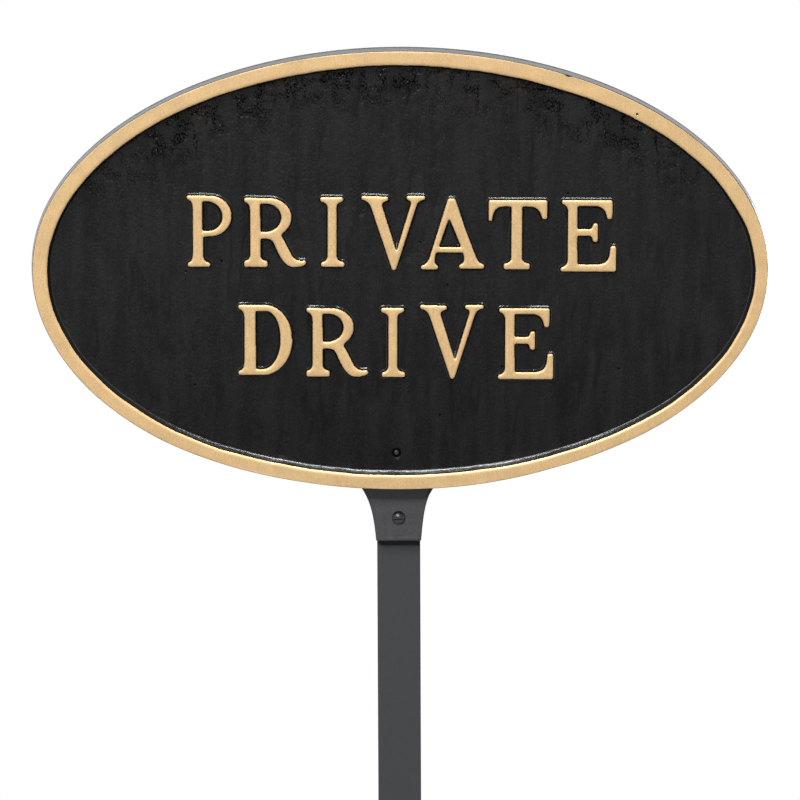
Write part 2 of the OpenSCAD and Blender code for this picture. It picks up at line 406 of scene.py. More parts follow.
class Nodes:
    """The nodes of a material or of the world, with patterns laid in the object's own coordinates."""

    def __init__(self, owner):
        owner.use_nodes = True
        self.owner = owner
        self.tree = owner.node_tree
        self.tree.nodes.clear()
        if isinstance(owner, bpy.types.Material):
            self.place = self.add("ShaderNodeTexCoord").outputs["Object"]

    def add(self, kind, values=None, **attributes):
        """Add a node with its attributes, and fill its inputs with numbers or other nodes' outputs."""
        node = self.tree.nodes.new(kind)
        for name, value in attributes.items():
            setattr(node, name, value)
        for key, value in (values or {}).items():
            if isinstance(value, bpy.types.NodeSocket):
                self.tree.links.new(value, node.inputs[key])
            else:
                node.inputs[key].default_value = value
        return node

    def combine(self, operation, first, second=0):
        """Arithmetic on two numbers or patterns."""
        return self.add("ShaderNodeMath", {0: first, 1: second}, operation=operation).outputs[0]

    def both(self, first, second):
        """Where two patterns are both high, or one pattern times a number."""
        return self.combine("MULTIPLY", first, second)

    def either(self, first, second):
        """Where at least one of two patterns is high."""
        return self.combine("MAXIMUM", first, second)

    def vector(self, operation, *places):
        """Arithmetic on places. Its outputs are Vector, and Value for a length or a distance."""
        return self.add("ShaderNodeVectorMath", dict(enumerate(places)), operation=operation).outputs

    def height(self, place):
        """The upward part of a place."""
        return self.add("ShaderNodeSeparateXYZ", {0: place}).outputs["Z"]

    def ramp(self, value, low, high, to_low=0.0, to_high=1.0):
        """Spread the part of a pattern between two levels over a new range."""
        values = {"Value": value, "From Min": low, "From Max": high, "To Min": to_low, "To Max": to_high}
        return self.add("ShaderNodeMapRange", values).outputs[0]

    def grain(self, size_mm, stretch=(1, 1, 1), detail=2.0):
        """Cloudy grain from 0 to 1 whose lumps have the given size, stretched along each axis."""
        scale = tuple(1 / (size_mm * MM * s) for s in stretch)
        scaled = self.add("ShaderNodeMapping", {"Vector": self.place, "Scale": scale}).outputs[0]
        values = {"Vector": scaled, "Scale": 1.0, "Detail": detail}
        return self.add("ShaderNodeTexNoise", values).outputs["Fac"]

    def dots(self, spacing_mm, radius_mm, share):
        """Small round dots at random places: 1 inside a dot, and only in a share of the cells."""
        cells = self.add("ShaderNodeTexVoronoi", {"Vector": self.place, "Scale": 1 / (spacing_mm * MM)})
        near = self.ramp(cells.outputs["Distance"], radius_mm / spacing_mm, 0.4 * radius_mm / spacing_mm)
        return self.both(near, self.combine("LESS_THAN", cells.outputs["Color"], share))

    def blend(self, share, low, high):
        """A colour or a painted pattern where the share is 0, turning to a colour where it is 1."""
        low = low if isinstance(low, bpy.types.NodeSocket) else (*low, 1)
        return self.add("ShaderNodeMix", {0: share, 6: low, 7: (*high, 1)}, data_type="RGBA").outputs[2]

    def bumps(self, *layers):
        """Stack relief patterns, each with its real height in millimetres, into one normal."""
        below = {}
        for pattern, height_mm in layers:
            values = {"Height": pattern, "Distance": height_mm * MM, "Strength": 1.0, **below}
            below = {"Normal": self.add("ShaderNodeBump", values).outputs[0]}
        return below["Normal"]

    def shade(self, values):
        """Finish the material with one surface shader, and return it."""
        shader = self.add("ShaderNodeBsdfPrincipled", values)
        self.add("ShaderNodeOutputMaterial", {"Surface": shader.outputs[0]})
        return self.owner


def tint(rgb, factor):
    """A colour made lighter or darker."""
    return tuple(min(1, c * factor) for c in rgb)


def upper_band(nodes, centre, half):
    """1 along the top of the oval field, where the sand left most pits, and 0 elsewhere."""
    away = nodes.vector("SUBTRACT", nodes.place, (centre[0] * MM, 0, centre[1] * MM))[0]
    scaled = nodes.vector("MULTIPLY", away, (1 / (half[0] * MM), 0, 1 / (half[1] * MM)))[0]
    outward = nodes.vector("LENGTH", scaled)["Value"]
    upward = nodes.ramp(nodes.height(scaled), 0.25, 0.6)
    return nodes.both(nodes.ramp(outward, 0.68, 0.85), upward)


def wrinkles(nodes, width_mm, height_mm, reach):
    """Broken, mostly upright folds where the enamel ran: 1 along a fold, fading to 0 beside it."""
    folds = nodes.grain(width_mm, (1, 1, height_mm / width_mm), 3.0)
    level = nodes.combine("ABSOLUTE", nodes.combine("SUBTRACT", folds, 0.5))
    patches = nodes.ramp(nodes.grain(12, (1, 1, 1.5)), 0.42, 0.62)
    return nodes.both(nodes.ramp(level, reach, 0), patches)


def black_enamel(rgb, centre, half):
    """Sprayed and baked black enamel on an as-cast sand surface.

    Satin black with upright folds where it ran, fine orange peel over the sand grain, light grey
    specks, and sharp pits, crowded in patches along the top of the oval. Painted shade darkens the
    colour in the folds, in the pits and in the hollows of the runs, and the field reflects less
    towards the bottom, which is painted shade too.
    """
    nodes = Nodes(bpy.data.materials.new("black_baked_enamel_on_sand_cast_aluminium"))
    grain, ramp, dots, both, either = nodes.grain, nodes.ramp, nodes.dots, nodes.both, nodes.either
    band = upper_band(nodes, centre, half)
    runs = grain(4.5, (1, 1, 6))
    folds = wrinkles(nodes, 8, 40, 0.08)
    peel = grain(1.3, detail=3.0)
    sand = grain(0.5)
    patches = both(band, ramp(grain(7, (1, 1, 0.7), 3.0), 0.46, 0.6))
    chains = both(band, ramp(grain(2.4, (1, 1, 5)), 0.55, 0.66))
    holes = both(either(patches, chains), ramp(grain(0.62, (1, 1, 1.2)), 0.5, 0.44))
    pits = either(holes, dots(7.5, 0.45, 0.3))
    specks = either(dots(6.2, 0.21, 0.4), both(dots(1.1, 0.2, 0.42), patches))
    stains = both(band, ramp(grain(12, detail=1.0), 0.58, 0.72))
    # Painted shade: the folds and the pits are darkened in the colour, and the pits also reflect less
    shadows = either(both(folds, 0.7), pits)
    # The colour follows the runs' relief, darker in their hollows: painted shade for the flow ripples. The
    # sand grain adds a random tone.
    runs_shade_and_grain = nodes.combine("ADD", ramp(runs, 0.3, 0.7, -0.4, 0.4), ramp(sand, 0.35, 0.65))
    paint = nodes.blend(runs_shade_and_grain, tint(rgb, 0.2), tint(rgb, 1.75))
    paint = nodes.blend(stains, paint, linear("#241d16"))
    paint = nodes.blend(shadows, paint, tint(rgb, 0.05))
    paint = nodes.blend(specks, paint, linear("#97979a"))
    # Painted shade: the field reflects less towards the bottom, so it renders darker there
    sheen_fading_downward = ramp(nodes.height(nodes.place), (centre[1] - half[1]) * MM, centre[1] * MM, 0.6)
    return nodes.shade({
        "Base Color": paint, "Roughness": ramp(peel, 0.3, 0.7, 0.28, 0.4), "IOR": 1.26,
        "Specular IOR Level": both(ramp(pits, 0, 1, 0.5, 0.04), sheen_fading_downward),
        "Normal": nodes.bumps((runs, 0.16), (folds, -0.25), (peel, 0.14), (sand, 0.055), (pits, -0.3)),
    })


def smooth_enamel(name, rgb, ior):
    """The same black enamel where it flowed out smooth and glossy, on the sides and in corners."""
    nodes = Nodes(bpy.data.materials.new(name))
    normal = nodes.bumps((nodes.grain(2.2), 0.1), (nodes.grain(0.9), 0.025))
    return nodes.shade({"Base Color": (*rgb, 1), "Roughness": 0.22, "IOR": ior, "Normal": normal})


def gold_enamel(rgb, black, pit):
    """Rolled-on gold enamel: fine metal flake in a satin binder, missing only in one sand pit."""
    nodes = Nodes(bpy.data.materials.new("gold_flake_enamel_rolled_on"))
    flake = nodes.grain(0.42, detail=1.0)
    strokes = nodes.grain(0.8, (1, 1, 3))
    cloud = nodes.grain(5)
    coarse = nodes.both(nodes.combine("ADD", strokes, cloud), 0.5)
    mixed = nodes.ramp(nodes.combine("ADD", flake, coarse), 0.7, 1.3)
    bare = nodes.ramp(nodes.vector("DISTANCE", nodes.place, pit)["Value"], 0.5 * MM, 0.3 * MM)
    paint = nodes.blend(mixed, tint(rgb, 0.84), tint(rgb, 1.16))
    return nodes.shade({
        "Base Color": nodes.blend(bare, paint, black), "Metallic": 0.25, "Roughness": 0.42,
        "Coat Weight": 0.15, "Coat Roughness": 0.25,
        "Normal": nodes.bumps((cloud, 0.06), (strokes, 0.02), (flake, 0.012), (bare, -0.3)),
    })


def powder_coat(name, rgb, lump_mm, lump_height_mm, runs_shade_and_grain, gloss):
    """Charcoal polyester powder coat: fine even orange peel, matte enough to keep its edges dark."""
    nodes = Nodes(bpy.data.materials.new(name))
    lumps = nodes.grain(lump_mm)
    fine = nodes.grain(0.42)
    mixed = nodes.combine("ADD", nodes.both(lumps, 0.6), nodes.both(fine, 1.4))
    mixed = nodes.ramp(mixed, 0.75, 1.25)
    return nodes.shade({
        "Base Color": nodes.blend(mixed, tint(rgb, 1 - runs_shade_and_grain), tint(rgb, 1 + runs_shade_and_grain)),
        "Roughness": nodes.ramp(fine, 0.3, 0.7, 0.4, 0.55), "IOR": 1.45, "Specular IOR Level": gloss,
        "Normal": nodes.bumps((lumps, lump_height_mm), (fine, 0.015)),
    })


def plated_steel(name, rgb, roughness):
    """Small machined steel part with a thin plated or oxide finish, slightly uneven."""
    nodes = Nodes(bpy.data.materials.new(name))
    stain = nodes.grain(1.2)
    return nodes.shade({
        "Base Color": nodes.blend(stain, tint(rgb, 0.8), tint(rgb, 1.15)), "Metallic": 0.85,
        "Roughness": nodes.ramp(stain, 0.3, 0.7, roughness - 0.06, roughness + 0.1),
        "Normal": nodes.bumps((nodes.grain(0.35), 0.008)),
    })


# The oval casting


# How far the rim's two edges were filed in from a true oval, in millimetres, at turns in degrees
# from the right-hand end
OUTER_DRIFT = (
    (0, 0), (165, 0), (182, 0.35), (200, 0.3), (214, -0.25), (230, -0.65), (242, -0.35),
    (255, 0), (282, 0), (295, 0.4), (305, 0.3), (315, 0), (360, 0),
)
INNER_DRIFT = (
    (0, -0.2), (10, 0.3), (20, 0.9), (40, 1), (60, 0.9), (90, 0), (150, 0.3), (200, 0), (220, -0.45),
    (230, -0.8), (240, -0.6), (250, -0.1), (270, 0), (305, 0), (320, -0.45), (350, -0.2), (360, -0.2),
)
# From the oval's centre, in millimetres: a nick in the rim's top edge, a pin hole in its face, and
# the burr that the drill left under the hole in the field
NICK_X = 57.5
PIN_HOLE = (81, 53.6)
BURR = (-1.0, -65.7)


def field_sizes(plaque):
    """Centre and half sizes of the oval, and the depth of its field, in millimetres."""
    low, high = box_mm("plaque")
    half = ((high[0] - low[0]) / 2, (high[2] - low[2]) / 2)
    return middle_mm("plaque"), half, low[1] + plaque.rim_rise


def scatter_pits(half, rim):
    """Larger sand pits as rows of x, z, radius, drop length and depth share, most near the top."""
    random = np.random.default_rng(11)
    pits = []
    for _ in range(150):
        turn = random.normal(math.radians(88), math.radians(24))
        in_by = rim + abs(random.normal(0, 6)) + 1
        x, z = (half[0] - in_by) * math.cos(turn), (half[1] - in_by) * math.sin(turn)
        pits.append((x, z, random.uniform(0.3, 0.6), random.uniform(1, 2), random.uniform(0.3, 1)))
    for _ in range(60):
        x, z = random.uniform(-0.9, 0.9) * half[0], random.uniform(-0.8, 0.8) * half[1]
        if math.hypot(x / (half[0] - rim), z / (half[1] - rim)) < 0.97:
            pits.append((x, z, random.uniform(0.3, 0.5), 1, random.uniform(0.2, 0.6)))
    return pits


def field_relief(x, z, plaque, half):
    """Height of the cast and painted field at places measured from the oval's centre."""
    rim = plaque.side_draft + plaque.rim_width + plaque.wall_run
    drift = 3 * noise(x, z, 30, 30, 5)
    runs = noise(x + drift, z, 6.5, 38, 1) + 0.6 * noise(x + drift, z, 3.1, 15, 2)
    relief = plaque.ripple * (runs + 0.9 * noise(x, z, 24, 24, 3))
    relief += 0.012 * noise(x, z, 1.5, 1.8, 4)
    # Enamel that gathered along the foot of the wall
    inward = (1 - np.hypot(x / (half[0] - rim), z / (half[1] - rim))) * half[1]
    relief += 0.22 * np.exp(-np.maximum(inward, 0) / 2.2) * (1 + 0.4 * noise(x, z, 9, 9, 6))
    for px, pz, radius, drop, share in scatter_pits(half, rim):
        near = np.nonzero((np.abs(x - px) < 3 * radius) & (np.abs(z - pz) < 3 * radius * drop))[0]
        if len(near):
            away = ((x[near] - px) / radius) ** 2 + ((z[near] - pz) / (radius * drop)) ** 2
            relief[near] -= plaque.pit_depth * share * np.exp(-away)
    relief += 0.7 * np.exp(-((x - BURR[0]) / 0.45) ** 2 - ((z - BURR[1]) / 0.5) ** 2)
    return relief


def casting_profile(plaque, back):
    """The casting's section from the hollow back over the rim to the field, in five runs.

    Each place is its inset from the oval's widest outline and its height above the field.
    """
    lip, floor, rise = plaque.lip, -plaque.plate, plaque.rim_rise
    outer = plaque.side_draft
    inner = outer + plaque.rim_width
    foot = inner + plaque.wall_run
    hollow = [
        (lip + 1.8, floor), (lip + 0.8, floor), (lip + 0.5, floor - 0.04), (lip + 0.4, floor - 0.3),
        (lip + 0.05, back + 0.25), (lip - 0.05, back + 0.04), (lip - 0.3, back),
    ]
    brim = [(0.8, back), (0.4, back), (0.15, back + 0.08), (0.03, back + 0.25), (0.02, back + 0.5)]
    side = [
        (outer * 0.3, back * 0.55), (outer * 0.7, 0), (outer * 0.95, rise - 0.75),
        (outer + 0.02, rise - 0.25), (outer + 0.06, rise - 0.12),
    ]
    face = [
        (outer + 0.16, rise - 0.03), (outer + 0.35, rise), (outer + 1.2, rise), (outer + 2.4, rise),
        (inner - 1.2, rise), (inner - 0.65, rise - 0.01), (inner - 0.3, rise - 0.08),
        (inner - 0.08, rise - 0.24),
    ]
    wall = [
        (inner + 0.05, rise - 0.5), (inner + 0.25, rise - 1.0), (inner + 0.45, 1.3), (foot - 0.5, 0.66),
        (foot - 0.27, 0.26), (foot - 0.12, 0.07), (foot, 0.01), (foot + 0.45, 0),
    ]
    return hollow, brim, side, face, wall


class CastPlaque(bpy.types.Operator):
    """Cast the plaque: hollow back, lip, drafted side, raised rim and sunk field in one mesh"""

    bl_idname = "sign.cast_plaque"
    bl_label = "Cast Plaque"

    def execute(self, context):
        plaque = settings(context, "plaque")
        centre, half, field_y = field_sizes(plaque)
        half = (half[0], half[1] + plaque.taller)
        bore_x, bore_z = middle_mm("plaque_screw")
        mouth, end = 0.7, 0.6
        shape = Shape()

        def raised(places):
            relief = field_relief(places[:, 0] - centre[0], places[:, 1] - centre[1], plaque, half)
            return np.column_stack([places[:, 0], field_y - relief, places[:, 1]])

        def from_bore(places):
            return np.hypot(places[:, 0] - bore_x, places[:, 1] - bore_z) - plaque.bore

        rings, edge = self.rim_rings(shape, plaque, centre, half, field_y)
        bore = []
        for wider, sunk in ((mouth, 0), (0.35, 0.04), (0.12, 0.16), (0, 0.4)):
            around = np.array(circle(bore_x, bore_z, plaque.bore + wider, 40))
            bore.append(shape.add(raised(around) + (0, sunk, 0)))
        for wider, sunk in ((0, 0.15), (0.15, 0), (end, 0)):
            around = circle(bore_x, bore_z, plaque.bore + wider, 40)
            bore.append(shape.add([(x, field_y + plaque.plate - sunk, z) for x, z in around]))
        shape.skin(bore)

        border = np.array(edge) + 1
        grid = staggered_grid(-border, border, plaque.grid)
        turned = np.degrees(np.arctan2(grid[:, 1] / edge[1], grid[:, 0] / edge[0])) % 360
        in_by = plaque.grid * 0.6 + steps_between(INNER_DRIFT, turned)
        grid = grid[np.hypot(grid[:, 0] / (edge[0] - in_by), grid[:, 1] / (edge[1] - in_by)) < 1] + centre
        grid += (plaque.sideways, plaque.mismatch)
        grid = grid[from_bore(grid) > mouth + plaque.grid * 0.6]

        def outside_mouth(places):
            return from_bore(places) > end - 0.05

        shape.fill([rings[-1], bore[0]], grid, raised, outside_mouth)
        shape.fill([rings[0], bore[-1]], keep=outside_mouth, back=True)
        pin_hole = (centre[0] + PIN_HOLE[0], field_y - plaque.rim_rise, centre[1] + PIN_HOLE[1])
        piece = shape.build("plaque_casting", "black_enamel", [
            black_enamel(plaque.black, centre, half),
            gold_enamel(plaque.gold, plaque.black, (Vector(pin_hole) * MM)[:]),
            smooth_enamel("black_baked_enamel_flowed_out", plaque.black, 1.5),
            smooth_enamel("black_baked_enamel_thin_on_sides", plaque.black, 1.32),
        ])
        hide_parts("plaque")
        return {"FINISHED"}

    def rim_rings(self, shape, plaque, centre, half, field_y):
        """Add the casting's rings from the hollow to the field, and say how far the last one reaches."""
        runs = casting_profile(plaque, field_y - box_mm("plaque")[1][1])
        hollow, brim, side, face, wall = [len(run) for run in runs]
        profile = sum(runs, [])
        gold_from = hollow + brim + side
        gold_to = gold_from + face
        sands = [0] * (gold_to + 2) + [0.2, 0.3, 0.4, 0.6, 0.8, 1]
        outer = plaque.side_draft
        inner = outer + plaque.rim_width
        count = 960
        turn = np.arange(count) * 2 * math.pi / count
        outer_drift = steps_between(OUTER_DRIFT, np.degrees(turn))
        inner_drift = steps_between(INNER_DRIFT, np.degrees(turn))

        def oval(in_by):
            return (half[0] - in_by) * np.cos(turn), (half[1] - in_by) * np.sin(turn)

        rings = []
        for index, ((plan_in_by, height), sand) in enumerate(zip(profile, sands)):
            in_by = plan_in_by
            if index >= hollow:
                across = min(1, max(0, (plan_in_by - outer) / (plaque.rim_width - 1.2)))
                in_by = plan_in_by + across * inner_drift + (1 - across) * outer_drift
            x, z = oval(in_by)
            cast = height + sand * field_relief(x, z, plaque, half)
            if gold_from <= index < len(profile) - 1:
                wander = 0.11 * noise(x, z, 7, 7, 8) + 0.05 * noise(x, z, 2.2, 2.2, 9)
                if index < gold_from + 3:
                    nick = 0.5 * np.exp(-((x - NICK_X) / 0.9) ** 2) * (z > 0)
                    wander = 0.35 * np.abs(wander) + nick
                x, z = oval(in_by + wander)
            if gold_from < index < gold_to - 1:
                cast = cast - 0.03 * (1 + noise(x, z, 9, 9, 10))
            lift = plaque.mismatch * min(1, max(0, (plan_in_by - inner) / plaque.wall_run))
            shift = plaque.sideways * min(1, max(0, (plan_in_by - inner + 1.5) / 0.8))
            points = np.column_stack([centre[0] + x + shift, field_y - cast, centre[1] + z + lift])
            rings.append(shape.add(points))
        last_in_by = profile[-1][0]
        shape.skin(rings, [0] * (hollow + brim) + [3] * side + [1] * face + [2] * (wall - 3) + [0, 0])
        return rings, (half[0] - last_in_by, half[1] - last_in_by)


# The raised capitals


def bow(x, z, half_x, half_z, start, stop, count):
    """Points along an oval arc, from one angle to another in degrees."""
    angles = [math.radians(start + (stop - start) * k / count) for k in range(count + 1)]
    return [(x + half_x * math.cos(a), z + half_z * math.sin(a)) for a in angles]


def bend(start_x, start_z, pull_x, pull_z, end_x, end_z):
    """Points along a curve from start to end, drawn towards a third point."""
    pairs = ((start_x, pull_x, end_x), (start_z, pull_z, end_z))
    shares = [k / 6 for k in range(7)]
    return [tuple((1 - t) ** 2 * a + 2 * t * (1 - t) * b + t * t * c for a, b, c in pairs) for t in shares]


def trace(*steps):
    """Points along an outline: two numbers are a corner, six a bend and seven an oval arc."""
    points = []
    for step in steps:
        points += [step] if len(step) == 2 else bend(*step) if len(step) == 6 else bow(*step)
    return points


def foot(left, stem_left, stem_right, right, thick=1.55):
    """Serif under a stem, from the stem's left side round to its right side."""
    return trace(
        (stem_left, 3.9, stem_left, thick + 0.35, left, thick), (left, 0), (right, 0),
        (right, thick, stem_right, thick + 0.35, stem_right, 3.9),
    )


def cap(left, stem_left, stem_right, right, top):
    """Serif on top of a stem, from the stem's right side round to its left side."""
    return trace(
        (stem_right, top - 3.6, stem_right, top - 1.8, right, top - 1.4), (right, top), (left, top),
        (left, top - 1.4, stem_left, top - 1.8, stem_left, top - 3.6),
    )


def flag(stem_left, top):
    """One-sided serif at the top left of a stem, from the top edge down to the stem."""
    return trace((0, top), (0, top - 1.3, stem_left, top - 1.6, stem_left, top - 4))


# Each capital's outlines in millimetres from the left end of its baseline, the counter last
LETTERS = {
    "P": (
        trace(*foot(0.3, 2.1, 5.6, 8.0, 1.4), (5.6, 10.4), (8.2, 10.6), (8.2, 17.5, 7.1, 6.9, -90, 90, 20),
              *flag(2.1, 24.6)),
        trace((5.35, 12.4), (7.4, 17.3, 4.9, 4.9, -90, 0, 12), (6.9, 17.3, 5.4, 5.3, 0, 90, 12),
              (5.35, 22.6)),
    ),
    "R": (
        trace(*foot(0, 2.1, 5.6, 8.0, 2.0), (5.6, 9.9), (8.9, 9.7, 10.2, 9.0, 10.9, 6.6),
              (10.9, 6.6, 13.9, -0.2, 16.8, 0.1), (16.8, 0.1, 20.2, 0.0, 21.4, 1.3),
              (20.9, 2.4, 18.4, 1.6, 16.5, 3.6), (12.7, 11.0), (8.5, 17.0, 7.7, 6.65, -50, 90, 20),
              *flag(2.1, 23.75)),
        trace((5.6, 12.0), (6.9, 17.0, 5.9, 5.0, -90, 0, 12), (7.8, 17.0, 5.0, 4.8, 0, 90, 12),
              (5.5, 21.8)),
    ),
    "I": (trace(*foot(0.1, 2.45, 5.4, 8.15), *cap(-0.2, 2.45, 5.35, 7.65, 23.95)),),
    "V": (
        trace((10.35, -0.95), (11.45, -0.95), (18.55, 21.4, 19.1, 23.2, 21.5, 23.4), (21.5, 24.6),
              (15.2, 24.6), (15.2, 23.3, 17.1, 23.2, 16.55, 21.4), (11.7, 5.3),
              (6.8, 21.0, 6.3, 22.7, 8.8, 23.0), (8.8, 24.3), (-0.35, 24.6),
              (-0.35, 23.3, 2.0, 23.2, 3.0, 20.8)),
    ),
    "A": (
        trace((14.45, 5.8, 15.6, 1.9, 13.1, 1.6), (13.1, 0.2), (21.6, 0.3),
              (21.6, 1.7, 19.8, 1.9, 18.9, 4.0), (15.05, 14.0), (11.6, 24.2), (9.2, 24.2),
              (3.0, 4.0, 2.2, 1.5, -0.05, 1.25), (-0.05, -0.1), (5.9, -0.1),
              (5.9, 1.3, 3.9, 1.5, 5.2, 5.8)),
        trace((6.05, 7.6), (13.85, 7.6), (9.6, 17.8)),
    ),
    "T": (
        trace(*foot(5.3, 7.9, 11.45, 14.1, 1.95), (11.5, 21.6), (13.6, 21.6, 17.7, 21.9, 18.4, 17.3),
              (19.95, 17.3), (20.0, 23.8), (0, 23.8), (0.15, 16.5), (1.2, 16.5, 1.4, 21.9, 5.2, 21.6),
              (7.9, 21.6)),
    ),
    "E": (
        trace((0, 0), (18.9, 0), (18.9, 8.8), (17.1, 8.8), (16.9, 6.8, 16.7, 2.3, 12.4, 2.5),
              (5.75, 2.4), (5.65, 12.3), (10.2, 12.3), (10.2, 12.3, 10.9, 12.3, 11.0, 10.2),
              (12.65, 10.2), (12.65, 16.6), (11.15, 16.6, 10.9, 14.7, 9.9, 14.6), (5.65, 14.6),
              (5.7, 22.6), (11.7, 22.6), (11.7, 22.6, 15.5, 22.6, 15.9, 18.0), (17.5, 18.0),
              (17.7, 24.5), (0.3, 24.6), (0.3, 23.3, 2.5, 23.0, 2.5, 20.4),
              (2.5, 4.2, 2.5, 1.8, 0, 1.4)),
    ),
    "D": (
        trace((0.1, 0), (8.3, 12.1, 10.2, 12.1, -90, 0, 16), (9.1, 12.9, 9.2, 11.3, 0, 90, 16),
              *flag(2.1, 24.2), (2.1, 4.2, 2.1, 1.7, 0.1, 1.4)),
        trace((6.1, 2.05), (8.5, 12.4, 6.05, 10.35, -90, 0, 16), (9.8, 12.4, 4.75, 9.7, 0, 90, 16),
              (5.85, 22.1)),
    ),
}
# Left edge of each capital from the oval's centre and its lift off the line, in millimetres, as
# they were spaced by eye on the pattern
UPPER_WORD = (
    ("P", -72.9, -0.2), ("R", -53.3, 0), ("I", -27.1, 0.35), ("V", -12.9, 0.33),
    ("A", 7.2, 0), ("T", 30.25, 0.24), ("E", 54.95, -0.23),
)
LOWER_WORD = (
    ("D", -55.6, 0.22), ("R", -32.25, -0.08), ("I", -6.5, 0.08), ("V", 7.0, 0.6), ("E", 33.45, -0.15),
)


def soften(values, radius):
    """Blur a grid, with a bell curve of the given radius in steps."""
    reach = int(3 * radius) + 1
    bell = np.exp(-0.5 * (np.arange(-reach, reach + 1) / radius) ** 2)
    bell /= bell.sum()
    for axis in (0, 1):
        values = np.apply_along_axis(lambda line: np.convolve(line, bell, "same"), axis, values)
    return values


def level_lines(values, level):
    """Closed lines along which a grid crosses a level, in grid steps."""
    inside = values > level
    code = inside[:-1, :-1] * 1 + inside[1:, :-1] * 2 + inside[1:, 1:] * 4 + inside[:-1, 1:] * 8
    crossing = {}
    joined = {}
    for i, j in zip(*np.nonzero((code > 0) & (code < 15))):
        here, right, above, beyond = [(int(i) + a, int(j) + b) for a, b in ((0, 0), (1, 0), (0, 1), (1, 1))]
        sides = ((here, right), (right, beyond), (above, beyond), (here, above))
        cut = [side for side in sides if inside[side[0]] != inside[side[1]]]
        for side in cut:
            low, high = values[side[0]], values[side[1]]
            t = (level - low) / (high - low)
            crossing[side] = tuple(a + (b - a) * t for a, b in zip(*side))
        for a, b in zip(cut[::2], cut[1::2]):
            joined.setdefault(a, []).append(b)
            joined.setdefault(b, []).append(a)
    lines = []
    while joined:
        side = next(iter(joined))
        line = []
        while side in joined:
            line.append(crossing[side])
            following = [other for other in joined.pop(side) if other in joined]
            side = following[0] if following else None
        lines.append(line)
    return lines


def even_loop(points, spacing):
    """A closed loop with its points moved to even distances, or None if it is too short."""
    closed = np.array(points + points[:1])
    along = np.concatenate([[0], np.cumsum(np.linalg.norm(np.diff(closed, axis=0), axis=1))])
    count = int(along[-1] / spacing)
    if count < 6:
        return None
    wanted = np.arange(count) * along[-1] / count
    return np.column_stack([np.interp(wanted, along, closed[:, 0]), np.interp(wanted, along, closed[:, 1])])


class Glyph:
    """A capital's outline, softened as sand leaves it, with the distance from its edge."""

    step = 0.15
    margin = 2.4

    def __init__(self, outlines, softness):
        corners = np.array([p for outline in outlines for p in outline])
        self.low = corners.min(axis=0) - self.margin
        high = corners.max(axis=0) + self.margin
        columns = np.arange(self.low[0], high[0], self.step)
        rows = np.arange(self.low[1], high[1], self.step)
        x, z = np.meshgrid(columns, rows, indexing="ij")
        places = np.column_stack([x.ravel(), z.ravel()])
        inside = np.zeros(len(places), bool)
        for outline in outlines:
            inside ^= in_polygon(places, outline)
        soft = soften(inside.reshape(x.shape).astype(float), softness / self.step)
        edge = np.concatenate([even_loop(line, 0.8) for line in level_lines(soft, 0.5)])
        nearest = np.full(x.shape, np.inf)
        i, j = np.indices(x.shape)
        for a, b in edge:
            np.minimum(nearest, (i - a) ** 2 + (j - b) ** 2, out=nearest)
        self.outward = np.where(soft > 0.5, -1, 1) * np.sqrt(nearest) * self.step

    def outlines(self, distance, spacing):
        """The glyph's outlines moved outward by a distance, with evenly spaced points."""
        loops = [even_loop(line, spacing / self.step) for line in level_lines(-self.outward, -distance)]
        return [loop * self.step + self.low for loop in loops if loop is not None]

    def distance(self, places):
        """Distance of places outward from the glyph's edge."""
        u = (places - self.low) / self.step
        i, j = np.clip(np.floor(u).astype(int), 0, np.array(self.outward.shape) - 2).T
        s, t = u[:, 0] - i, u[:, 1] - j
        near = self.outward[i, j] * (1 - s) + self.outward[i + 1, j] * s
        far = self.outward[i, j + 1] * (1 - s) + self.outward[i + 1, j + 1] * s
        return near * (1 - t) + far * t


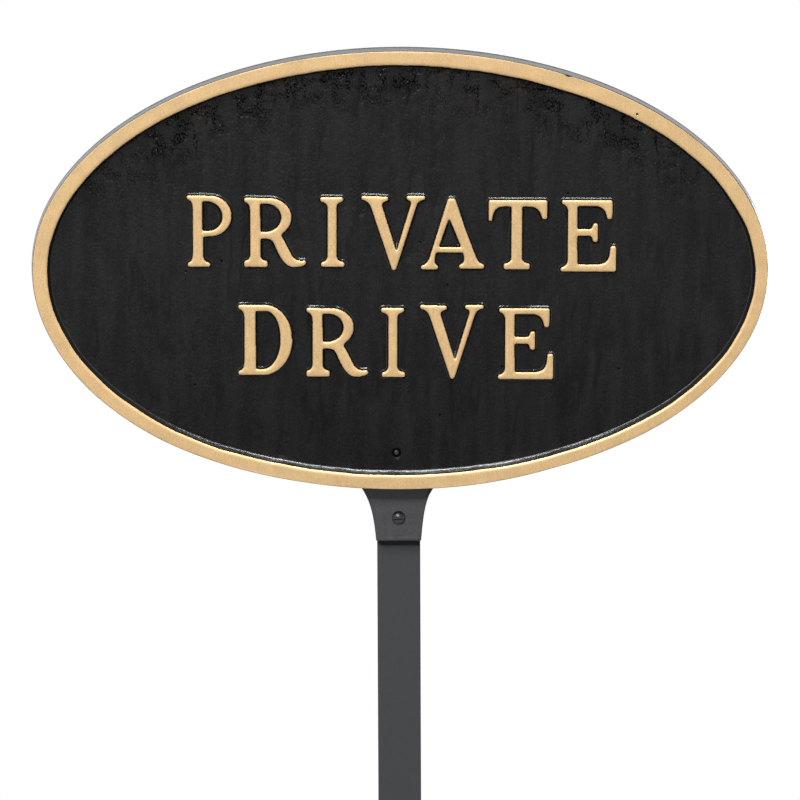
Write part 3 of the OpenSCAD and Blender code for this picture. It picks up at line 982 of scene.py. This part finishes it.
class RaiseLettering(bpy.types.Operator):
    """Raise the plain capitals on the field, with rounded gold faces and black fillets"""

    bl_idname = "sign.raise_lettering"
    bl_label = "Raise Lettering"

    def execute(self, context):
        plaque = settings(context, "plaque")
        lettering = settings(context, "lettering")
        centre, half, field_y = field_sizes(plaque)
        top, spread = lettering.relief, lettering.spread
        skirt = spread + 0.12
        # Distance outward from the edge of the gold, and height above the field
        profile = [
            (-1.2, top), (-0.5, top - 0.01), (-0.26, top - 0.06), (-0.1, top - 0.17), (0, top - 0.34),
            (spread * 0.11, top * 0.57), (spread * 0.24, top * 0.36), (spread * 0.4, top * 0.24),
            (spread * 0.61, top * 0.125), (spread * 0.82, top * 0.04), (spread, 0), (skirt, -0.3),
        ]
        cosine, sine = math.cos(-lettering.turn), math.sin(-lettering.turn)
        glyphs = {name: Glyph(outlines, lettering.softness) for name, outlines in LETTERS.items()}
        shape = Shape()

        def on_field(glyph, places, left, line):
            """A capital's places as points of the sign, settled on the uneven field."""
            height = steps_between(profile, glyph.distance(places))
            x = left + places[:, 0] * cosine - places[:, 1] * sine
            z = line + places[:, 0] * sine + places[:, 1] * cosine
            low = np.clip(1 - height / top, 0, 1)
            height = height + low * field_relief(x, z, plaque, half)
            height += 0.02 * (1 - low) * noise(x, z, 5, 5, 21)
            return np.column_stack([centre[0] + x, field_y - height, centre[1] + z])

        for word, baseline in ((UPPER_WORD, lettering.upper_line), (LOWER_WORD, -lettering.lower_line)):
            for name, left, lift in word:
                glyph = glyphs[name]
                loops = [loop for away, _ in profile for loop in glyph.outlines(away, 0.34)]
                around = np.concatenate(loops)
                inner = staggered_grid(around.min(axis=0), around.max(axis=0), 0.7)
                inner = inner[glyph.distance(inner) < profile[0][0] - 0.3]
                where, triangles, _ = triangulate(np.concatenate([around, inner]), loops)
                line = baseline + lift - (left + 10) * math.tan(lettering.slope)
                first = shape.add(on_field(glyph, where, left, line))[0]
                away = glyph.distance(where[triangles].mean(axis=1))
                for (a, b, c), out_by in zip(triangles, away):
                    if out_by < skirt:
                        shape.faces.append((first + a, first + b, first + c))
                        shape.finishes.append(0 if out_by < 0.03 else 1)
        shape.build("raised_lettering", "gold_enamel", [
            bpy.data.materials["gold_flake_enamel_rolled_on"],
            bpy.data.materials["black_baked_enamel_flowed_out"],
        ])
        return {"FINISHED"}


# The bracket


# Gap between a screw's thread and the plain hole around it, in millimetres
HOLE_GAP = 0.2


def bracket_outline(bracket, bar_half, pad_half, low, top):
    """Outline of the bracket's plate, anticlockwise from its lower left corner."""
    low_half = bar_half + bracket.low_extra / 2
    corner_up = top - low - bracket.corner

    def half_at(up):
        return min(pad_half, low_half + 0.1 * up + bracket.flare * (up / bracket.drop) ** 3.5)

    def lean_at(up):
        return -bracket.lean * min(1, up / bracket.drop) ** 2 * (1 - min(1, up / corner_up) ** 6)

    ups = [0.0] + np.linspace(1.6, corner_up, 58).tolist()
    corner = bow(pad_half - bracket.corner, top - bracket.corner, bracket.corner, bracket.corner, 10, 90, 8)
    right = [(lean_at(up) + half_at(up), low + up) for up in ups] + corner
    left = [(lean_at(up) - half_at(up), low + up) for up in ups] + [(-x, z) for x, z in corner]
    return right + left[::-1]


class CastBracket(bpy.types.Operator):
    """Cast the bracket: flared plate, tongue in the hollow back and cheeks beside the bar"""

    bl_idname = "sign.cast_bracket"
    bl_label = "Cast Bracket"

    def execute(self, context):
        bracket = settings(context, "bracket")
        fasteners = settings(context, "fasteners")
        plaque = settings(context, "plaque")
        low, high = box_mm("stake_bracket")
        bar_low, bar_high = box_mm("stake")
        plaque_low, plaque_high = box_mm("plaque")
        back = bar_low[1]
        front = back - bracket.plate
        hole = fasteners.thread + HOLE_GAP
        screw = (0, middle_mm("stake_screw")[1], hole)
        tie = (*middle_mm("plaque_screw"), hole)

        def cast(places):
            x, z = places.T
            return 0.035 * noise(x, z, 4, 5, 31) - 0.05 + 0.015 * noise(x, z, 1.4, 1.4, 32)

        shape = Shape()
        outline = bracket_outline(bracket, bar_high[0], high[0], low[2], high[2])
        slab(shape, outline, front, back, bracket.edge, 0.4, (screw, tie), 0.7, cast)
        # The face's dip starts halfway up the part that shows
        for index, (x, y, z) in enumerate(shape.points):
            ease = min(1, max(0, (z - low[2] - 9) / 6))
            if y < back - 1:
                shape.points[index] = (x, y + bracket.dip * ease * ease * (3 - 2 * ease), z)
        # The tongue fills the foot of the hollow, short of its lip
        gap = 0.5
        hollow = [(plaque_high[k] - plaque_low[k]) / 2 - plaque.lip - 0.8 for k in (0, 2)]
        across = np.linspace(gap - high[0], high[0] - gap, 21)
        middle = middle_mm("plaque")[1]
        tongue = [(x, middle - hollow[1] * math.sqrt(1 - (x / hollow[0]) ** 2)) for x in across]
        tongue += [(high[0] - gap, high[2] - gap), (gap - high[0], high[2] - gap)]
        slab(shape, tongue, low[1] + 0.02, front + 0.8, 0.3, 0.1, (tie,))
        cheek_x = bar_high[0] + bracket.clearance
        start = low[2] + bracket.cheek_start
        for side in (-1, 1):
            near, far = sorted((side * cheek_x, side * (cheek_x + bracket.cheek)))
            cheek = [(near, start), (far, start), (far, bar_high[2]), (near, bar_high[2])]
            slab(shape, cheek, back - 0.4, high[1], 0.1, 0.5)
        material = powder_coat("charcoal_powder_coat_on_casting", bracket.powder, 1.1, 0.06, 0.3, 0.58)
        piece = shape.build("bracket_casting", "charcoal_cast", [material])
        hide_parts("stake_bracket")
        return {"FINISHED"}


# The stake


class RollStake(bpy.types.Operator):
    """Roll and cut the flat bar, with eased edges and a sheared point"""

    bl_idname = "sign.roll_stake"
    bl_label = "Roll Stake"

    def execute(self, context):
        stake = settings(context, "stake")
        fasteners = settings(context, "fasteners")
        low, high = box_mm("stake")
        rows = np.linspace(low[2] + stake.point, high[2], 120)
        right = [(stake.point_width / 2, low[2])] + [(high[0], z) for z in rows]
        outline = right + [(-x, z) for x, z in reversed(right)]
        hole = (0, middle_mm("stake_screw")[1], fasteners.thread + HOLE_GAP)
        shape = Shape()
        slab(shape, outline, low[1], high[1], stake.edge, stake.edge, (hole,))
        material = powder_coat("charcoal_powder_coat_on_rolled_bar", stake.powder, 2.2, 0.012, 0.05, 0.12)
        piece = shape.build("stake_bar", "charcoal_steel", [material])
        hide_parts("stake")
        return {"FINISHED"}


# The fasteners


def head_rise(p, q, fasteners):
    """Height of a screw head's top above its seat, at places measured along and across the slot."""
    dome = fasteners.dome
    ball = (fasteners.head ** 2 + dome ** 2) / (2 * dome)
    away = np.minimum(np.hypot(p, q), fasteners.head)
    top = fasteners.head_height - ball + np.sqrt(ball ** 2 - away ** 2)
    floor = np.minimum(top, fasteners.head_height - fasteners.slot_depth)
    return np.where(np.abs(q) < fasteners.slot / 2, floor, top)


def turned_screw(x, z, end_y, seat_y, turn, fasteners):
    """A slotted screw along Y: a threaded shank from its end to its seat, and a domed head beyond."""
    toward = math.copysign(1, seat_y - end_y)
    count = 40
    shank = abs(seat_y - end_y)
    head, pitch = fasteners.head, fasteners.pitch
    root = fasteners.thread - 0.6 * pitch
    angles = np.arange(count) * 2 * math.pi / count
    shape = Shape()

    def ring(up, radius):
        radius = np.broadcast_to(radius, count)
        y = np.full(count, end_y + toward * up)
        return shape.add(np.column_stack([x + radius * np.cos(angles), y, z + radius * np.sin(angles)]))

    rings = [ring(0, root - 0.6), ring(0.03, root - 0.42), ring(0.4, root - 0.02)]
    rows = int((shank - 0.6) / (pitch / 8))
    for up in np.linspace(0.5, shank - 0.1, rows):
        turned = (-(end_y + toward * up) / pitch - angles / (2 * math.pi)) % 1
        crest = np.minimum(1, 1.25 * (1 - np.abs(2 * turned - 1)))
        cut_in = min(1, (up - 0.4) / 0.5)
        rings.append(ring(up, root + (fasteners.thread - root) * crest * cut_in))
    brim = shank + fasteners.head_height - fasteners.dome
    rings += [ring(shank, radius) for radius in (root, root + 0.2, head - 0.25, head - 0.08)]
    rings += [ring(shank + 0.08, head), ring(brim - 0.14, head), ring(brim - 0.03, head - 0.04)]

    cosine, sine = math.cos(turn), math.sin(turn)

    def on_head(places):
        along = (places[:, 0] - x) * cosine + (places[:, 1] - z) * sine
        across = (places[:, 1] - z) * cosine - (places[:, 0] - x) * sine
        rise = head_rise(along, across, fasteners)
        return np.column_stack([places[:, 0], seat_y + toward * rise, places[:, 1]])

    rings.append(shape.add(on_head(np.array(circle(x, z, head - 0.12, count)))))
    # Points along the slot's edges and beside it, measured along and across the slot
    lines = []
    for across in (0.03, -0.03, -0.2, 0.15, 0.4):
        q = fasteners.slot / 2 + across
        reach = math.sqrt((head - 0.2) ** 2 - q * q)
        lines += [(p, side * q) for p in np.linspace(-reach, reach, 25) for side in (-1, 1)]
    lines += [(p, q) for p in np.linspace(-head * 0.85, head * 0.85, 15) for q in (-0.12, 0.12)]
    lines += [(p, side * q) for q in (1.2, 1.6, 1.9) for side in (-1, 1)
              for p in np.linspace(-1, 1, 11) * math.sqrt((head - 0.2) ** 2 - q * q)]
    inner = [(x + p * cosine - q * sine, z + p * sine + q * cosine) for p, q in lines]
    end, top = rings[0], rings[-1]
    # The end has the second finish, up to the start of the thread
    finishes = [1] * 4 + [0] * (len(rings) - 5)
    if toward > 0:
        rings.reverse()
        finishes.reverse()
    shape.skin(rings, finishes)
    first = len(shape.faces)
    shape.fill([top], inner, on_head, back=toward > 0)
    # Painted shade: faces along the slot's edges take the near-black finish
    for index in range(first, len(shape.faces)):
        middle = np.mean([shape.points[i] for i in shape.faces[index]], axis=0)
        off = abs((middle[2] - z) * cosine - (middle[0] - x) * sine) - fasteners.slot / 2
        if -0.2 < off < 0.02:
            shape.finishes[index] = 2
    shape.fill([end], back=toward < 0, finish=1)
    return shape


class TurnFasteners(bpy.types.Operator):
    """Turn both slotted screws, and plate the nut and the lock washer"""

    bl_idname = "sign.turn_fasteners"
    bl_label = "Turn Fasteners"

    def execute(self, context):
        fasteners = settings(context, "fasteners")
        oxide = plated_steel("black_oxide_on_machined_steel", fasteners.oxide, 0.3)
        # A near-black copy of the oxide: painted shade for the slot
        slot_shade = plated_steel("painted_shade_in_the_slot", tint(fasteners.oxide, 0.12), 0.6)
        # The plaque screw's end takes the glossy black of the casting's corners and shows black in its hole
        black_on_the_end = bpy.data.materials["black_baked_enamel_flowed_out"]
        zinc = plated_steel("bright_zinc_on_steel", fasteners.zinc, 0.34)
        for node, name, faces_front, turn in (
            ("stake_screw", "bracket_screw_slotted", True, fasteners.slot_turn),
            ("plaque_screw", "plaque_screw_threaded", False, math.radians(35)),
        ):
            low, high = box_mm(node)
            head_y = low[1] + fasteners.head_height if faces_front else high[1] - fasteners.head_height
            end_y = high[1] if faces_front else low[1]
            finishes = [oxide, oxide if faces_front else black_on_the_end, slot_shade]
            shape = turned_screw(*middle_mm(node), end_y, head_y, turn, fasteners)
            piece = shape.build(name, "dark_screw", finishes)
            piece.data.set_sharp_from_angle(angle=math.radians(40))
            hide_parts(node)
        for node in ("stake_lock_washer", "stake_nut"):
            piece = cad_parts[node]
            piece.data.materials.clear()
            piece.data.materials.append(zinc)
        return {"FINISHED"}


# The stage


def seen_directly(nodes):
    """1 on rays from the camera, a mirror or glass, and 0 on soft light."""
    path = nodes.add("ShaderNodeLightPath").outputs
    reflected = nodes.either(path["Is Camera Ray"], path["Is Glossy Ray"])
    return nodes.either(reflected, path["Is Transmission Ray"])


class SetStage(bpy.types.Operator):
    """Set the white floor, the soft light and the camera"""

    bl_idname = "sign.set_stage"
    bl_label = "Set Stage"

    def execute(self, context):
        stage = settings(context, "stage")
        scene = context.scene
        low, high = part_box("plaque")
        middle = (low + high) / 2
        self.lay_floor(stage, CAD_BOUNDS[0][2])
        self.light(stage, middle)
        lens = bpy.data.cameras.new("view")
        lens.lens = stage.focal
        lens.clip_end = 200
        camera = bpy.data.objects.new("view", lens)
        place = Matrix.Translation((
            middle[0] + stage.sideways * MM, low[1] - stage.distance * MM, middle[2] + stage.rise * MM
        ))
        look = Matrix.Rotation(math.pi / 2 - stage.tilt, 4, "X") @ Matrix.Rotation(stage.roll, 4, "Z")
        camera.matrix_world = place @ look
        scene.collection.objects.link(camera)
        scene.camera = camera
        scene.view_settings.view_transform = "Standard"
        return {"FINISHED"}

    def lay_floor(self, stage, height):
        """A pale floor at the stake's tip: matte near it, plain white further out, dim to soft light."""
        mesh = bpy.data.meshes.new("floor")
        reach = 60
        corners = [(-reach, -reach), (reach, -reach), (reach, reach), (-reach, reach)]
        mesh.from_pydata([(x, y, height) for x, y in corners], [], [(0, 1, 2, 3)])
        floor = bpy.data.objects.new("floor", mesh)
        bpy.context.scene.collection.objects.link(floor)
        nodes = Nodes(bpy.data.materials.new("matte_white_studio_floor"))
        fade = nodes.ramp(nodes.vector("LENGTH", nodes.place)["Value"], 0.5, 1.6)
        matte = nodes.add("ShaderNodeBsdfDiffuse", {"Color": (*linear("#c8c8c8"), 1)})
        seen = seen_directly(nodes)
        white = nodes.add("ShaderNodeEmission", {"Strength": nodes.ramp(seen, 0, 1, stage.ambient)})
        share = nodes.either(fade, nodes.combine("SUBTRACT", 1.0, seen))
        mixed = nodes.add("ShaderNodeMixShader", {0: share, 1: matte.outputs[0], 2: white.outputs[0]})
        nodes.add("ShaderNodeOutputMaterial", {"Surface": mixed.outputs[0]})
        mesh.materials.append(nodes.owner)

    def light(self, stage, middle):
        """Faint light all around, and softboxes overhead, in front and low behind."""
        world = bpy.data.worlds.new("studio")
        nodes = Nodes(world)
        level = nodes.ramp(seen_directly(nodes), 0, 1, stage.ambient)
        glow = nodes.add("ShaderNodeBackground", {"Color": (1, 1, 1, 1), "Strength": level})
        nodes.add("ShaderNodeOutputWorld", {"Surface": glow.outputs[0]})
        bpy.context.scene.world = world
        for name, watts, size, offset in (
            ("overhead_softbox", stage.key_power, (0.9, 0.25), (0, -0.03, 1.3)),
            ("front_softbox", stage.front_power, (0.9, 1.1), (-0.7, -1.6, 1.4)),
            ("front_strip", stage.strip_power, (0.8, 0.2), (-0.3, -2.0, 0.98)),
            ("back_softbox", stage.back_power, (1.4, 0.5), (0.5, 2.2, -0.3)),
        ):
            lamp = bpy.data.lights.new(name, "AREA")
            lamp.shape = "RECTANGLE"
            lamp.size, lamp.size_y = size
            lamp.energy = watts
            softbox = bpy.data.objects.new(name, lamp)
            softbox.location = middle + Vector(offset)
            softbox.rotation_euler = (-Vector(offset)).to_track_quat("-Z", "Y").to_euler()
            bpy.context.scene.collection.objects.link(softbox)


class SignPanel(bpy.types.Panel):
    """The sign's pieces and their settings"""

    bl_idname = "VIEW3D_PT_sign"
    bl_label = "Oval Lawn Sign"
    bl_space_type = "VIEW_3D"
    bl_region_type = "UI"
    bl_category = "Sign"

    def draw(self, context):
        for operator in OPERATORS:
            self.layout.operator(operator.bl_idname)
        for name, group in SETTINGS.items():
            box = self.layout.box()
            box.label(text=name.title())
            for key in group.__annotations__:
                box.prop(getattr(context.scene, "sign_" + name), key)


OPERATORS = (CastPlaque, RaiseLettering, CastBracket, RollStake, TurnFasteners, SetStage)


def register():
    for cls in (*SETTINGS.values(), *OPERATORS, SignPanel):
        bpy.utils.register_class(cls)
    for name, group in SETTINGS.items():
        setattr(bpy.types.Scene, "sign_" + name, bpy.props.PointerProperty(type=group))


def unregister():
    for name in SETTINGS:
        delattr(bpy.types.Scene, "sign_" + name)
    for cls in reversed((*SETTINGS.values(), *OPERATORS, SignPanel)):
        bpy.utils.unregister_class(cls)


def main():
    register()
    bpy.ops.sign.cast_plaque()
    bpy.ops.sign.raise_lettering()
    bpy.ops.sign.cast_bracket()
    bpy.ops.sign.roll_stake()
    bpy.ops.sign.turn_fasteners()
    bpy.ops.sign.set_stage()


if __name__ == "__main__":
    main()
